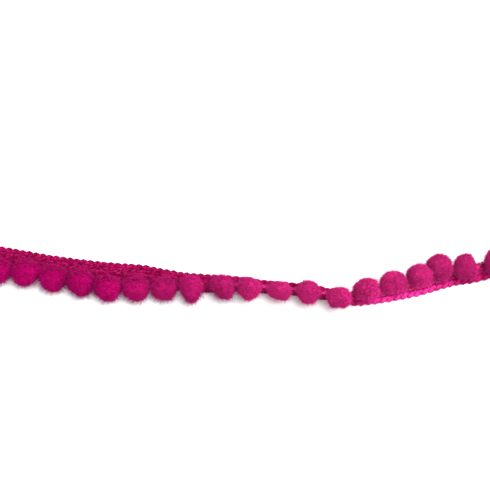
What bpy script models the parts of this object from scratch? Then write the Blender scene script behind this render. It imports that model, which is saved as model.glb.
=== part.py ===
"""Pompom fringe trim: a narrow crocheted heading tape, half turned over on itself, with yarn pompoms on one edge."""
import math

import bmesh
import bpy
import numpy as np
from mathutils import Matrix, Vector

MM = 0.001

# Driving sizes of the heading tape
TAPE_THICK = 1.2 * MM
LOOP_PITCH = 2.05 * MM
LOOP_REACH = 0.2 * MM
EDGE_SLOPE = 1.1 * MM
RIB_HEIGHT = 0.18 * MM
CUT_LEFT = -84.2 * MM
CUT_RIGHT = 83.0 * MM

# Driving sizes of the pompoms
HALF_HEIGHT = 3.5 * MM
PRESSED = 3.05 * MM
DENTED = 2.6 * MM
GAP = 0.35 * MM
CORE_SHARE = 0.88
CORE_UNEVEN = 0.03
LOCK_UNEVEN = 0.05
LOCK_INSET = 0.2
LOCK_TAPER = 0.82
CORNER_LEAN = (2.0, 1.3)

# How finely the tape's line is walked to space its sections, and how far apart two places give its direction
FINE_PLACES = 2001
BESIDE = 0.1 * MM

# Where the middle of the trim's own box lies in the tables' coordinates
BOX_MIDDLE = (0.11 * MM, 0.26 * MM)

# How the tape lies. A row for each bend: millimetres along and aside in plan (plus aside is away from the viewer),
# degrees of roll (0 has the pompom edge towards the viewer, 180 away from it) and the tape's width in millimetres.
LIE_COLUMNS = ("along", "aside", "roll", "width")
LIE = (
    (-84.2, 8.0, 0, 6.0),
    (-70.5, 6.0, 0, 6.0),
    (-56.0, 3.4, 0, 6.0),
    (-40.3, 1.4, 0, 6.0),
    (-30.4, 0.6, 0, 6.0),
    (-23.8, -0.7, 0, 6.0),
    (-16.5, -1.9, 0, 6.0),
    (-10.7, -2.3, 3, 5.9),
    (-2.9, -2.6, 14, 5.4),
    (4.9, -3.5, 23, 5.0),
    (13.9, -4.3, 25, 4.9),
    (21.2, -5.3, 22, 5.0),
    (24.1, -6.0, 32, 4.9),
    (27.4, -7.1, 72, 4.7),
    (30.2, -7.4, 122, 4.9),
    (33.0, -6.7, 152, 5.4),
    (39.1, -5.5, 165, 5.9),
    (49.6, -3.3, 170, 6.0),
    (60.3, -0.2, 173, 6.0),
    (69.0, 1.3, 186, 5.9),
    (75.4, 3.7, 189, 5.9),
    (83.0, 9.6, 186, 6.0),
)

# The tape's section, from the looped edge over one face to the pompom edge and back under the other: shares of half
# its width, of half its thickness and of a rib's height
SECTION_COLUMNS = ("wide", "thick", "rib")
SECTION = (
    (-1.00, 0.0, 0.0),
    (-0.72, 1.0, 1.0),
    (-0.05, 1.0, 0.6),
    (0.62, 1.0, 0.3),
    (1.00, 0.0, 0.0),
    (0.62, -1.0, 0.3),
    (-0.05, -1.0, 0.6),
    (-0.72, -1.0, 1.0),
)

# How far an edge loop has reached out at each of its three sections
LOOP_SHAPE = (0.0, 1.0, 0.55)

# How each pompom sits. Millimetres along the tape, millimetres from the pompom edge to its middle (plus is off the
# tape), the tape's face that it lies on, and how far it reaches in plan at each eighth of a turn from the right.
SEAT_COLUMNS = ("along", "across", "face")
REACH_COLUMNS = ("right", "back_right", "back", "back_left", "left", "front_left", "front", "front_right")
SEATS = (
    (-79.3, 2.5, 1, 4.0, 3.8, 3.6, 3.6, 3.6, 3.6, 3.5, 3.7),
    (-71.2, 2.6, 1, 4.2, 3.9, 3.7, 3.7, 4.0, 3.7, 3.3, 3.8),
    (-62.7, 1.6, 1, 4.1, 3.8, 3.8, 3.9, 4.0, 3.8, 3.8, 3.7),
    (-54.8, 2.0, 1, 4.0, 3.8, 3.8, 3.8, 3.8, 3.6, 3.8, 3.9),
    (-46.9, 2.4, 1, 4.0, 3.9, 3.8, 3.9, 3.8, 3.0, 3.6, 3.9),
    (-39.2, 3.1, 1, 4.1, 3.8, 3.6, 3.9, 4.0, 3.3, 3.4, 3.8),
    (-30.9, 2.6, 1, 3.8, 3.6, 3.4, 3.6, 3.8, 3.3, 3.2, 3.5),
    (-22.7, 1.2, 1, 3.5, 3.5, 3.3, 3.4, 3.5, 3.1, 2.9, 3.5),
    (-15.1, 0.0, 1, 3.0, 3.5, 3.8, 3.5, 3.1, 3.2, 4.2, 3.2),
    (-6.3, 0.2, 1, 3.2, 3.3, 3.7, 3.9, 3.3, 2.5, 3.1, 3.9),
    (1.3, 0.8, 1, 3.6, 3.3, 3.2, 3.3, 3.2, 3.1, 3.6, 3.4),
    (9.9, 1.1, 1, 3.4, 2.9, 2.5, 3.1, 3.4, 2.5, 2.5, 3.4),
    (18.2, 0.7, 1, 3.2, 3.4, 3.5, 3.4, 3.2, 3.1, 3.5, 3.2),
    (27.0, 2.9, 1, 3.4, 3.2, 2.8, 3.4, 3.5, 3.3, 2.9, 3.4),
    (34.8, -0.4, -1, 3.7, 3.5, 3.1, 3.2, 3.9, 3.5, 2.9, 3.5),
    (42.8, -0.9, -1, 4.2, 3.8, 3.4, 3.8, 4.3, 3.5, 2.6, 3.3),
    (50.5, -0.6, -1, 3.9, 3.5, 3.5, 3.4, 4.1, 3.6, 2.8, 3.5),
    (57.0, 0.4, -1, 3.4, 3.7, 3.5, 3.5, 4.3, 3.4, 4.0, 3.9),
    (63.7, -1.3, -1, 3.2, 3.4, 3.5, 3.3, 3.4, 3.6, 3.4, 3.9),
    (72.8, -2.7, -1, 3.4, 3.4, 3.4, 3.4, 3.1, 3.4, 3.4, 3.4),
    (80.0, -2.4, -1, 3.4, 3.4, 3.4, 3.4, 3.4, 3.4, 3.4, 3.4),
)

SEED = 7
SHARP_ANGLE = math.radians(50)
TAPE_COLOUR = (0.42, 0.0, 0.115, 1.0)
POMPOM_COLOUR = (0.52, 0.0, 0.16, 1.0)
YARN_ROUGHNESS = 0.85


def column(table, names, name):
    """One named column of a table as an array."""
    return np.array([row[names.index(name)] for row in table], dtype=float)


def smooth(at, known_at, known):
    """Cubic pieces through the known values, level at each turning point, so that nothing overshoots."""
    rise = np.diff(known) / np.diff(known_at)
    same_way = rise[:-1] * rise[1:] > 0
    spread = np.where(same_way, rise[:-1] + rise[1:], 1.0)
    inner = np.where(same_way, 2 * rise[:-1] * rise[1:] / spread, 0.0)
    slope = np.concatenate(([rise[0]], inner, [rise[-1]]))
    piece = np.clip(np.searchsorted(known_at, at, side="right") - 1, 0, len(rise) - 1)
    step = known_at[piece + 1] - known_at[piece]
    t = (at - known_at[piece]) / step
    return (
        known[piece] * (1 + 2 * t) * (1 - t) ** 2
        + slope[piece] * step * t * (1 - t) ** 2
        + known[piece + 1] * t * t * (3 - 2 * t)
        + slope[piece + 1] * step * t * t * (t - 1)
    )


def lie_of_tape(along):
    """The tape's middle line, its two cross directions and its width at places along it, all in metres."""
    known = column(LIE, LIE_COLUMNS, "along") * MM
    aside = smooth(along, known, column(LIE, LIE_COLUMNS, "aside") * MM)
    roll = np.radians(smooth(along, known, column(LIE, LIE_COLUMNS, "roll")))
    width = smooth(along, known, column(LIE, LIE_COLUMNS, "width") * MM)
    height = width / 2 * np.abs(np.sin(roll)) + TAPE_THICK / 2 * np.abs(np.cos(roll))
    middle = np.stack([along - BOX_MIDDLE[0], aside - BOX_MIDDLE[1], height], axis=1)
    run = np.gradient(middle[:, :2], along, axis=0)
    run /= np.linalg.norm(run, axis=1, keepdims=True)
    level = np.stack([run[:, 1], -run[:, 0], np.zeros(len(along))], axis=1)
    up = np.array([0.0, 0.0, 1.0])
    turn = roll[:, None]
    across = np.cos(turn) * level + np.sin(turn) * up
    face = np.cos(turn) * up - np.sin(turn) * level
    return middle, across, face, width, roll


def evenly_along(step):
    """Places along the tape from cut to cut, equally spaced on its middle line, and how far each is along it."""
    fine = np.linspace(CUT_LEFT, CUT_RIGHT, FINE_PLACES)
    middle = lie_of_tape(fine)[0]
    walked = np.concatenate(([0.0], np.cumsum(np.linalg.norm(np.diff(middle, axis=0), axis=1))))
    count = int(round(walked[-1] / step))
    distance = np.linspace(0.0, walked[-1], count + 1)
    return np.interp(distance, walked, fine)


def material(name, colour):
    """A matt yarn finish."""
    made = bpy.data.materials.new(name)
    made.use_nodes = True
    shader = made.node_tree.nodes["Principled BSDF"]
    shader.inputs["Base Color"].default_value = colour
    shader.inputs["Roughness"].default_value = YARN_ROUGHNESS
    shader.inputs["Metallic"].default_value = 0.0
    return made


def finish_object(name, mesh, finish, collection):
    """Puts a mesh in the trim's collection as a smooth object with its finish."""
    mesh.shade_smooth()
    mesh.set_sharp_from_angle(angle=SHARP_ANGLE)
    mesh.materials.append(finish)
    made = bpy.data.objects.new(name, mesh)
    collection.objects.link(made)
    return made


def heading_tape(finish, collection):
    """One closed band: eight points round its section, three sections to each edge loop.

    The loops reach out at the free edge, slanting forward, and a rib runs in from each on the face that is up.
    Where a face lies on the floor its yarns are pressed level.
    """
    along = evenly_along(LOOP_PITCH / len(LOOP_SHAPE))
    middle, across, face, width, roll = lie_of_tape(along)
    lift = np.resize(LOOP_SHAPE, len(along))
    rings = []
    for row in SECTION:
        share = dict(zip(SECTION_COLUMNS, row))
        looped = LOOP_REACH if share["wide"] == -1.0 else 0.0
        out = share["wide"] * width / 2 - looped * lift
        side = np.sign(share["thick"])
        facing_up = np.clip(np.cos(roll) * side, 0, 1)
        thick = share["thick"] * TAPE_THICK / 2 + side * share["rib"] * lift * RIB_HEIGHT * facing_up
        rings.append(middle + across * out[:, None] + face * thick[:, None])
    points = np.stack(rings, axis=1)
    points[:, :, 2] = np.maximum(points[:, :, 2], 0.0)
    count, size = points.shape[:2]
    faces = []
    for ring in range(count - 1):
        for corner in range(size):
            after = (corner + 1) % size
            faces.append((
                ring * size + corner,
                (ring + 1) * size + corner,
                (ring + 1) * size + after,
                ring * size + after,
            ))
    faces.append(tuple(range(size)))
    faces.append(tuple((count - 1) * size + corner for corner in reversed(range(size))))
    mesh = bpy.data.meshes.new("heading_tape")
    mesh.from_pydata(points.reshape(-1, 3).tolist(), [], faces)
    shape = bmesh.new()
    shape.from_mesh(mesh)
    bmesh.ops.recalc_face_normals(shape, faces=shape.faces)
    shape.to_mesh(mesh)
    shape.free()
    return finish_object("heading_tape", mesh, finish, collection)


def reach_at(reaches, way):
    """How far a pompom's pile reaches along a way.

    In plan the reach is the cubic through the four nearest of the eight given, and from there to the half height
    above and below it follows an ellipse.
    """
    turn = math.atan2(way.y, way.x) / (2 * math.pi) * len(reaches)
    first = math.floor(turn)
    t = turn - first
    before, here, after, beyond = (reaches[(first + step) % len(reaches)] for step in (-1, 0, 1, 2))
    bend = 2 * before - 5 * here + 4 * after - beyond + t * (3 * (here - after) + beyond - before)
    plan = here + t / 2 * (after - before + t * bend)
    return 1 / math.hypot(math.hypot(way.x, way.y) / plan, way.z / HALF_HEIGHT)


def nearest_on_line(point, start, end):
    """The point of a straight line between two ends that is nearest to a given one."""
    line = end - start
    share = np.clip(np.dot(point - start, line) / np.dot(line, line), 0.0, 1.0)
    return start + line * share


def seat_of(row):
    """Where a pompom's middle is, how far it reaches, and the planes that it rests against.

    The tape's edge slopes from its full thickness to nothing, so the middle clears both the tip and the slope's top,
    and the pile stops at a plane before whichever part of the tape's section is nearest.
    """
    seat = dict(zip(SEAT_COLUMNS + REACH_COLUMNS, row))
    off = seat["across"] * MM
    reaches = [seat[name] * MM for name in REACH_COLUMNS]
    spot = seat["along"] * MM + np.array([-BESIDE, 0.0, BESIDE])
    middle, across, face, width, _ = (part[1] for part in lie_of_tape(spot))
    upward = face * seat["face"]
    touch = DENTED + GAP
    thick = TAPE_THICK / 2 + RIB_HEIGHT
    from_tip = max(off, 0.0)
    from_slope = max(off + EDGE_SLOPE, 0.0)
    over_tip = math.sqrt(max(touch ** 2 - from_tip ** 2, 0.0))
    over_slope = thick + math.sqrt(touch ** 2 - from_slope ** 2) if from_slope < touch else 0.0
    centre = middle + across * (width / 2 + off) + upward * max(over_tip, over_slope)
    centre[2] = max(centre[2], PRESSED)
    tip = middle + across * width / 2
    slope_top = middle + across * (width / 2 - EDGE_SLOPE) + upward * thick
    face_middle = middle + upward * thick
    edges = (nearest_on_line(centre, tip, slope_top), nearest_on_line(centre, slope_top, face_middle))
    away = Vector(min(edges, key=lambda edge: np.linalg.norm(edge - centre)) - centre)
    rests = [(Vector((0, 0, -1)), centre[2]), (away.normalized(), away.length - GAP)]
    return Vector(centre), reaches, rests


def press_neighbours(seats):
    """Adds a plane between every two neighbours that would meet, nearer to the one that reaches less."""
    found = []
    for (centre, reaches, rests), (other, other_reaches, other_rests) in zip(seats, seats[1:]):
        way = (other - centre).normalized()
        room = (other - centre).length - GAP
        here = reach_at(reaches, way)
        there = reach_at(other_reaches, -way)
        if here + there > room:
            found.append((rests, (way, room * here / (here + there))))
            found.append((other_rests, (-way, room * there / (here + there))))
    for rests, plane in found:
        rests.append(plane)


def within(way, reach, rests):
    """How far a point may go from the middle along a way before it meets the floor, the tape or a neighbour."""
    for down, room in rests:
        share = way.dot(down)
        if share > 0:
            reach = min(reach, room / share)
    return reach


def lock_faces(shape):
    """Fourteen evenly spread quads of a ball of fifty-four: the six middles and one at each cube corner."""
    ways = []
    for axis in range(3):
        for side in (-1, 1):
            way = Vector((0, 0, 0))
            way[axis] = side
            ways.append(way)
    for corner in range(8):
        signs = [1 if corner >> bit & 1 else -1 for bit in range(3)]
        lean = (corner + sum(signs)) % 3
        far, near = CORNER_LEAN
        way = Vector([sign * (far if axis == lean else near) for axis, sign in enumerate(signs)]).normalized()
        ways.append(way)
    chosen = []
    for way in ways:
        free = [face for face in shape.faces if face not in chosen]
        chosen.append(max(free, key=lambda face: face.calc_center_median().normalized().dot(way)))
    return chosen


def pompom(name, seat, random, finish, collection):
    """A ball of fifty-four quads with fourteen short locks drawn out of it, pressed level where it rests."""
    centre, reaches, rests = seat
    shape = bmesh.new()
    bmesh.ops.create_cube(shape, size=2.0)
    bmesh.ops.subdivide_edges(shape, edges=shape.edges[:], cuts=2, use_grid_fill=True)
    for vertex in shape.verts:
        even = Vector([math.tan(share * math.pi / 4) for share in vertex.co])
        vertex.co = even.normalized() * (1 + random.uniform(-CORE_UNEVEN, CORE_UNEVEN))
    for lock in lock_faces(shape):
        bmesh.ops.inset_individual(shape, faces=[lock], thickness=LOCK_INSET * math.sqrt(lock.calc_area()) / 2)
        drawn = bmesh.ops.extrude_discrete_faces(shape, faces=[lock])["faces"][0]
        middle = drawn.calc_center_median()
        draw = (1 + random.uniform(-LOCK_UNEVEN, 0.0)) / CORE_SHARE
        for vertex in drawn.verts:
            vertex.co = (middle + (vertex.co - middle) * LOCK_TAPER).normalized() * draw
    spin = Matrix.Rotation(random.uniform(0, 2 * math.pi), 3, "Z")
    for vertex in shape.verts:
        share = vertex.co.length * CORE_SHARE
        way = (spin @ vertex.co).normalized()
        vertex.co = centre + way * within(way, share * reach_at(reaches, way), rests)
    shape.normal_update()
    bmesh.ops.recalc_face_normals(shape, faces=shape.faces)
    mesh = bpy.data.meshes.new(name)
    shape.to_mesh(mesh)
    shape.free()
    return finish_object(name, mesh, finish, collection)


def main():
    """Clears the scene and builds the tape and its pompoms."""
    for leftover in list(bpy.data.objects):
        bpy.data.objects.remove(leftover, do_unlink=True)
    trim = bpy.data.collections.new("pompom_fringe_trim")
    bpy.context.scene.collection.children.link(trim)
    heading_tape(material("tape_yarn", TAPE_COLOUR), trim)
    pile = material("pompom_pile", POMPOM_COLOUR)
    random = np.random.default_rng(SEED)
    seats = [seat_of(row) for row in SEATS]
    press_neighbours(seats)
    for number, seat in enumerate(seats, start=1):
        pompom(f"pompom_{number:02d}", seat, random, pile, trim)


main()
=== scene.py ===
"""Looks of a pompom fringe trim: crocheted tape with a looped edge, cut pile pompoms, floor, light, camera.

Lengths are metres unless a name says mm, and angles in fields and tables are degrees. The tape's lie and the
pompoms' seats are the part's own.
"""
import logging
import math
from collections.abc import Sequence
from dataclasses import dataclass, field
from enum import Enum

import bpy
import numpy as np
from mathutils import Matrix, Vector


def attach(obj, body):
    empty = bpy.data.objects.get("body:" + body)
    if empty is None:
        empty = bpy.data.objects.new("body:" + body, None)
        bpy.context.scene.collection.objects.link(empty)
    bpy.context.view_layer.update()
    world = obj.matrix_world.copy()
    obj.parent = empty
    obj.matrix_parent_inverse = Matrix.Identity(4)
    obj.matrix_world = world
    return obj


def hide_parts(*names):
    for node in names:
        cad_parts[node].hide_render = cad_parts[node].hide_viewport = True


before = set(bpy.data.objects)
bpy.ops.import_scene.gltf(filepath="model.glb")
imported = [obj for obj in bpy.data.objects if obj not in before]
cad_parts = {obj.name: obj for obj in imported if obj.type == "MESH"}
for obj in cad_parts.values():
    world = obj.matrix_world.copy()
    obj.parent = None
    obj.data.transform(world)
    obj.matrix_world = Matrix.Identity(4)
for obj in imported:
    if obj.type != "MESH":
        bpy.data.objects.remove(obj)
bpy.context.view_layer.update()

MM = 0.001
BODY = "root"
YARN_MAP = "yarn"
TONE = "tip"
UP = np.array([0.0, 0.0, 1.0])
Colour = tuple[float, float, float]
log = logging.getLogger("pompom_fringe_trim")


class Slot(Enum):
    """Material slot names."""

    TAPE = "tape_yarn"
    PILE = "pompom_pile"


class Strand(Enum):
    """The kinds of yarn that the tape is made of."""

    LOOP = "thick yarn whipped round the looped edge"
    GROUND = "finer yarn that crosses the tape"
    CHAIN = "chain stitched thread that binds the loops lengthwise"


# How the tape lies: millimetres along and aside, degrees of roll, millimetres of width
LIE_COLUMNS = ("along", "aside", "roll", "width")
LIE = (
    (-84.2, 8.0, 0, 6.0),
    (-70.5, 6.0, 0, 6.0),
    (-56.0, 3.4, 0, 6.0),
    (-40.3, 1.4, 0, 6.0),
    (-30.4, 0.6, 0, 6.0),
    (-23.8, -0.7, 0, 6.0),
    (-16.5, -1.9, 0, 6.0),
    (-10.7, -2.3, 3, 5.9),
    (-2.9, -2.6, 14, 5.4),
    (4.9, -3.5, 23, 5.0),
    (13.9, -4.3, 25, 4.9),
    (21.2, -5.3, 22, 5.0),
    (24.1, -6.0, 32, 4.9),
    (27.4, -7.1, 72, 4.7),
    (30.2, -7.4, 122, 4.9),
    (33.0, -6.7, 152, 5.4),
    (39.1, -5.5, 165, 5.9),
    (49.6, -3.3, 170, 6.0),
    (60.3, -0.2, 173, 6.0),
    (69.0, 1.3, 186, 5.9),
    (75.4, 3.7, 189, 5.9),
    (83.0, 9.6, 186, 6.0),
)

# How each pompom sits: millimetres along and off the pompom edge, the face it lies on, and how far its pile
# reaches in plan, in millimetres, at each eighth of a turn from the right
SEAT_COLUMNS = ("along", "across", "face")
REACH_COLUMNS = ("right", "back_right", "back", "back_left", "left", "front_left", "front", "front_right")
SEATS = (
    (-79.3, 2.5, 1, 4.0, 3.8, 3.6, 3.6, 3.6, 3.6, 3.5, 3.7),
    (-71.2, 2.6, 1, 4.2, 3.9, 3.7, 3.7, 4.0, 3.7, 3.3, 3.8),
    (-62.7, 1.6, 1, 4.1, 3.8, 3.8, 3.9, 4.0, 3.8, 3.8, 3.7),
    (-54.8, 2.0, 1, 4.0, 3.8, 3.8, 3.8, 3.8, 3.6, 3.8, 3.9),
    (-46.9, 2.4, 1, 4.0, 3.9, 3.8, 3.9, 3.8, 3.0, 3.6, 3.9),
    (-39.2, 3.1, 1, 4.1, 3.8, 3.6, 3.9, 4.0, 3.3, 3.4, 3.8),
    (-30.9, 2.6, 1, 3.8, 3.6, 3.4, 3.6, 3.8, 3.3, 3.2, 3.5),
    (-22.7, 1.2, 1, 3.5, 3.5, 3.3, 3.4, 3.5, 3.1, 2.9, 3.5),
    (-15.1, 0.0, 1, 3.0, 3.5, 3.8, 3.5, 3.1, 3.2, 4.2, 3.2),
    (-6.3, 0.2, 1, 3.2, 3.3, 3.7, 3.9, 3.3, 2.5, 3.1, 3.9),
    (1.3, 0.8, 1, 3.6, 3.3, 3.2, 3.3, 3.2, 3.1, 3.6, 3.4),
    (9.9, 1.1, 1, 3.4, 2.9, 2.5, 3.1, 3.4, 2.5, 2.5, 3.4),
    (18.2, 0.7, 1, 3.2, 3.4, 3.5, 3.4, 3.2, 3.1, 3.5, 3.2),
    (27.0, 2.9, 1, 3.4, 3.2, 2.8, 3.4, 3.5, 3.3, 2.9, 3.4),
    (34.8, -0.4, -1, 3.7, 3.5, 3.1, 3.2, 3.9, 3.5, 2.9, 3.5),
    (42.8, -0.9, -1, 4.2, 3.8, 3.4, 3.8, 4.3, 3.5, 2.6, 3.3),
    (50.5, -0.6, -1, 3.9, 3.5, 3.5, 3.4, 4.1, 3.6, 2.8, 3.5),
    (57.0, 0.4, -1, 3.4, 3.7, 3.5, 3.5, 4.3, 3.4, 4.0, 3.9),
    (63.7, -1.3, -1, 3.2, 3.4, 3.5, 3.3, 3.4, 3.6, 3.4, 3.9),
    (72.8, -2.7, -1, 3.4, 3.4, 3.4, 3.4, 3.1, 3.4, 3.4, 3.4),
    (80.0, -2.4, -1, 3.4, 3.4, 3.4, 3.4, 3.4, 3.4, 3.4, 3.4),
)


def column(table: Sequence[Sequence[float]], names: Sequence[str], name: str) -> np.ndarray:
    """One named column of a table as an array."""
    return np.array([row[names.index(name)] for row in table], dtype=float)


def unit(vectors: np.ndarray) -> np.ndarray:
    """Vectors over their own length."""
    return vectors / np.linalg.norm(vectors, axis=-1, keepdims=True)


def ramp(value: np.ndarray | float, start: float, run: float) -> np.ndarray:
    """How far a value is through a run that begins at start, held between 0 and 1."""
    return np.clip((value - start) / run, 0.0, 1.0)


def soften(wave: np.ndarray, power: float) -> np.ndarray:
    """A wave's size to a power below one, with the wave's sign, so that it lingers at its two ends."""
    return np.sign(wave) * np.abs(wave) ** power


def smooth(at: np.ndarray, known_at: np.ndarray, known: np.ndarray) -> np.ndarray:
    """Cubic pieces through known values, level at each turning point, so that nothing overshoots.

    Args:
        at: Places to read.
        known_at: Places where the value is known, rising.
        known: The values there.

    Returns:
        The value at each place. Each piece is the cubic with the known values and slopes at its two ends. An
        inner slope is the harmonic mean of the rises on its two sides, or zero where they differ in sign.
    """
    rise = np.diff(known) / np.diff(known_at)
    same_way = rise[:-1] * rise[1:] > 0
    spread = np.where(same_way, rise[:-1] + rise[1:], 1.0)
    inner = np.where(same_way, 2 * rise[:-1] * rise[1:] / spread, 0.0)
    slope = np.concatenate(([rise[0]], inner, [rise[-1]]))
    piece = np.clip(np.searchsorted(known_at, at, side="right") - 1, 0, len(rise) - 1)
    step = known_at[piece + 1] - known_at[piece]
    t = (at - known_at[piece]) / step
    return (
        known[piece] * (1 + 2 * t) * (1 - t) ** 2
        + slope[piece] * step * t * (1 - t) ** 2
        + known[piece + 1] * t * t * (3 - 2 * t)
        + slope[piece + 1] * step * t * t * (t - 1)
    )


@dataclass(frozen=True)
class Spot:
    """The tape at an array of places: middle line, run, direction across, face direction and width."""

    middle: np.ndarray
    run: np.ndarray
    across: np.ndarray
    face: np.ndarray
    width: np.ndarray


@dataclass
class TapeLie:
    """How the tape lies, by distance from its left cut along its middle line."""

    thickness: float = 1.2 * MM
    full_width: float = 6.0 * MM
    cut_left: float = -84.2 * MM
    cut_right: float = 83.0 * MM
    box_middle: tuple[float, float] = (0.11 * MM, 0.26 * MM)
    samples: int = 4001
    length: float = field(init=False)

    def __post_init__(self) -> None:
        """Samples the lie finely, once, and measures the distance walked along it."""
        self.along = np.linspace(self.cut_left, self.cut_right, self.samples)
        known = column(LIE, LIE_COLUMNS, "along") * MM
        aside = smooth(self.along, known, column(LIE, LIE_COLUMNS, "aside") * MM)
        roll = np.radians(smooth(self.along, known, column(LIE, LIE_COLUMNS, "roll")))
        width = smooth(self.along, known, column(LIE, LIE_COLUMNS, "width") * MM)
        height = width / 2 * np.abs(np.sin(roll)) + self.thickness / 2 * np.abs(np.cos(roll))
        middle = np.stack([self.along - self.box_middle[0], aside - self.box_middle[1], height], axis=1)
        plan = unit(np.gradient(middle[:, :2], self.along, axis=0))
        self.walked = np.concatenate(([0.0], np.cumsum(np.linalg.norm(np.diff(middle, axis=0), axis=1))))
        self.length = float(self.walked[-1])
        self.known = {"middle": middle, "plan": plan, "width": width[:, None], "roll": roll[:, None]}

    def distance(self, along: float) -> float:
        """The distance from the left cut of a place given by its length along the frame."""
        return float(np.interp(along, self.along, self.walked))

    def read(self, name: str, distance: np.ndarray) -> np.ndarray:
        """A sampled quantity at some distances, each of its parts read between the two nearest samples."""
        return np.stack([np.interp(distance, self.walked, part) for part in self.known[name].T], axis=-1)

    def at(self, distance: np.ndarray) -> Spot:
        """The tape at some distances.

        Args:
            distance: Distances from the left cut, of any shape.

        Returns:
            The spot. Its direction across is the level direction raised by the roll, and its face direction
            is a quarter turn on from that.
        """
        plan = unit(self.read("plan", distance))
        roll = self.read("roll", distance)
        flat = np.zeros_like(plan[..., 0])
        run = np.stack([plan[..., 0], plan[..., 1], flat], axis=-1)
        level = np.stack([plan[..., 1], -plan[..., 0], flat], axis=-1)
        across = np.cos(roll) * level + np.sin(roll) * UP
        face = np.cos(roll) * UP - np.sin(roll) * level
        return Spot(self.read("middle", distance), run, across, face, self.read("width", distance)[..., 0])

    def place(self, distance: np.ndarray, out: np.ndarray, height: np.ndarray, least: float) -> np.ndarray:
        """World points from places on the tape.

        Args:
            distance: Distances from the left cut.
            out: Metres from the middle line towards the pompom edge on a tape of full width.
            height: Metres above the tape's middle surface.
            least: Least height over the floor.

        Returns:
            Middle, plus the direction across times out times the share of the width left there, plus the face
            direction times height, held above the floor.
        """
        spot = self.at(distance)
        gathered = out * spot.width / self.full_width
        points = spot.middle + spot.across * gathered[..., None] + spot.face * height[..., None]
        points[..., 2] = np.maximum(points[..., 2], least)
        return points


class MeshMaker:
    """Gathers vertices and faces of one size as whole arrays and puts them into one mesh."""

    def __init__(self) -> None:
        """Starts with nothing."""
        self.points: list[np.ndarray] = []
        self.faces: list[np.ndarray] = []
        self.tones: list[np.ndarray] = []
        self.maps: list[np.ndarray] = []
        self.count = 0

    def add(self, points: np.ndarray, faces: Sequence[np.ndarray], tone: np.ndarray | float = 0.0,
            spread: Sequence[np.ndarray] | None = None) -> None:
        """Adds a batch.

        Args:
            points: Vertices, three numbers each.
            faces: Arrays of faces, each with one count of corners, numbered from the batch's first vertex.
            tone: A number for each vertex, kept as an attribute that the finish reads.
            spread: The two map numbers for each corner of each array of faces.
        """
        flat = points.reshape(-1, 3)
        for number, some in enumerate(faces):
            self.faces.append(some + self.count)
            self.maps.append(np.zeros((some.size, 2)) if spread is None else spread[number].reshape(-1, 2))
        self.tones.append(np.broadcast_to(np.asarray(tone, dtype=float), (len(flat),)))
        self.points.append(flat)
        self.count += len(flat)

    def build(self, name: str, smooth_shaded: bool = True) -> bpy.types.Object:
        """The mesh as an object at the origin.

        Args:
            name: The piece's name.
            smooth_shaded: Whether its faces are shaded smooth.

        Returns:
            The new object, linked to the scene.
        """
        points = np.concatenate(self.points)
        totals = np.concatenate([np.full(len(some), some.shape[1]) for some in self.faces])
        corners = np.concatenate([some.ravel() for some in self.faces])
        mesh = bpy.data.meshes.new(name)
        mesh.vertices.add(len(points))
        mesh.vertices.foreach_set("co", points.ravel())
        mesh.loops.add(len(corners))
        mesh.loops.foreach_set("vertex_index", corners.astype(np.int32))
        mesh.polygons.add(len(totals))
        mesh.polygons.foreach_set("loop_start", (np.cumsum(totals) - totals).astype(np.int32))
        mesh.polygons.foreach_set("loop_total", totals.astype(np.int32))
        mesh.polygons.foreach_set("use_smooth", np.full(len(totals), smooth_shaded))
        mesh.uv_layers.new(name=YARN_MAP).data.foreach_set("uv", np.concatenate(self.maps).ravel())
        mesh.attributes.new(TONE, "FLOAT", "POINT").data.foreach_set("value", np.concatenate(self.tones))
        mesh.update(calc_edges=True)
        mesh.validate()
        made = bpy.data.objects.new(name, mesh)
        bpy.context.scene.collection.objects.link(made)
        return made


def strips(here: np.ndarray, after: np.ndarray) -> np.ndarray:
    """Four-cornered faces between closed rings of vertex numbers and the rings that come after them."""
    return np.stack([here, np.roll(here, -1, -1), np.roll(after, -1, -1), after], axis=-1).reshape(-1, 4)


def tubes(maker: MeshMaker, paths: np.ndarray, beside: np.ndarray, radius: np.ndarray | float, sides: int,
          tone: np.ndarray | float = 0.0) -> None:
    """Adds round closed tubes along paths.

    Round each path point goes a ring: radius times the cosine along one cross direction plus the sine along
    the other. The first cross direction is the reference less its part along the path.

    Args:
        maker: Where the tubes go.
        paths: Points of the paths, as path, step, three numbers.
        beside: A reference direction at each point that the path never follows.
        radius: The radius at each point.
        sides: Corners of a ring.
        tone: The number kept for each point.
    """
    count, steps = paths.shape[:2]
    ahead = unit(np.gradient(paths, axis=1))
    first = unit(beside - ahead * np.sum(beside * ahead, axis=-1, keepdims=True))
    second = np.cross(ahead, first)
    angle = 2 * np.pi * np.arange(sides) / sides
    ring = first[:, :, None] * np.cos(angle)[:, None] + second[:, :, None] * np.sin(angle)[:, None]
    points = paths[:, :, None] + ring * np.broadcast_to(radius, (count, steps))[:, :, None, None]
    index = np.arange(count * steps * sides).reshape(count, steps, sides)
    here, after = index[:, :-1], index[:, 1:]
    walked = np.cumsum(np.linalg.norm(np.diff(paths, axis=1, prepend=paths[:, :1]), axis=-1), axis=1)
    low = np.broadcast_to(walked[:, :-1, None], here.shape)
    high = np.broadcast_to(walked[:, 1:, None], here.shape)
    turn = np.broadcast_to(np.arange(sides) / sides, here.shape)
    next_turn = turn + 1 / sides
    corners = ((low, turn), (low, next_turn), (high, next_turn), (high, turn))
    spread = np.stack([np.stack(corner, axis=-1) for corner in corners], axis=-2)
    caps = np.concatenate([index[:, 0, ::-1], index[:, -1]])
    tones = np.repeat(np.broadcast_to(tone, (count, steps)).ravel(), sides)
    maker.add(points, [strips(here, after), caps], tones, [spread, np.zeros((caps.size, 2))])


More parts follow.
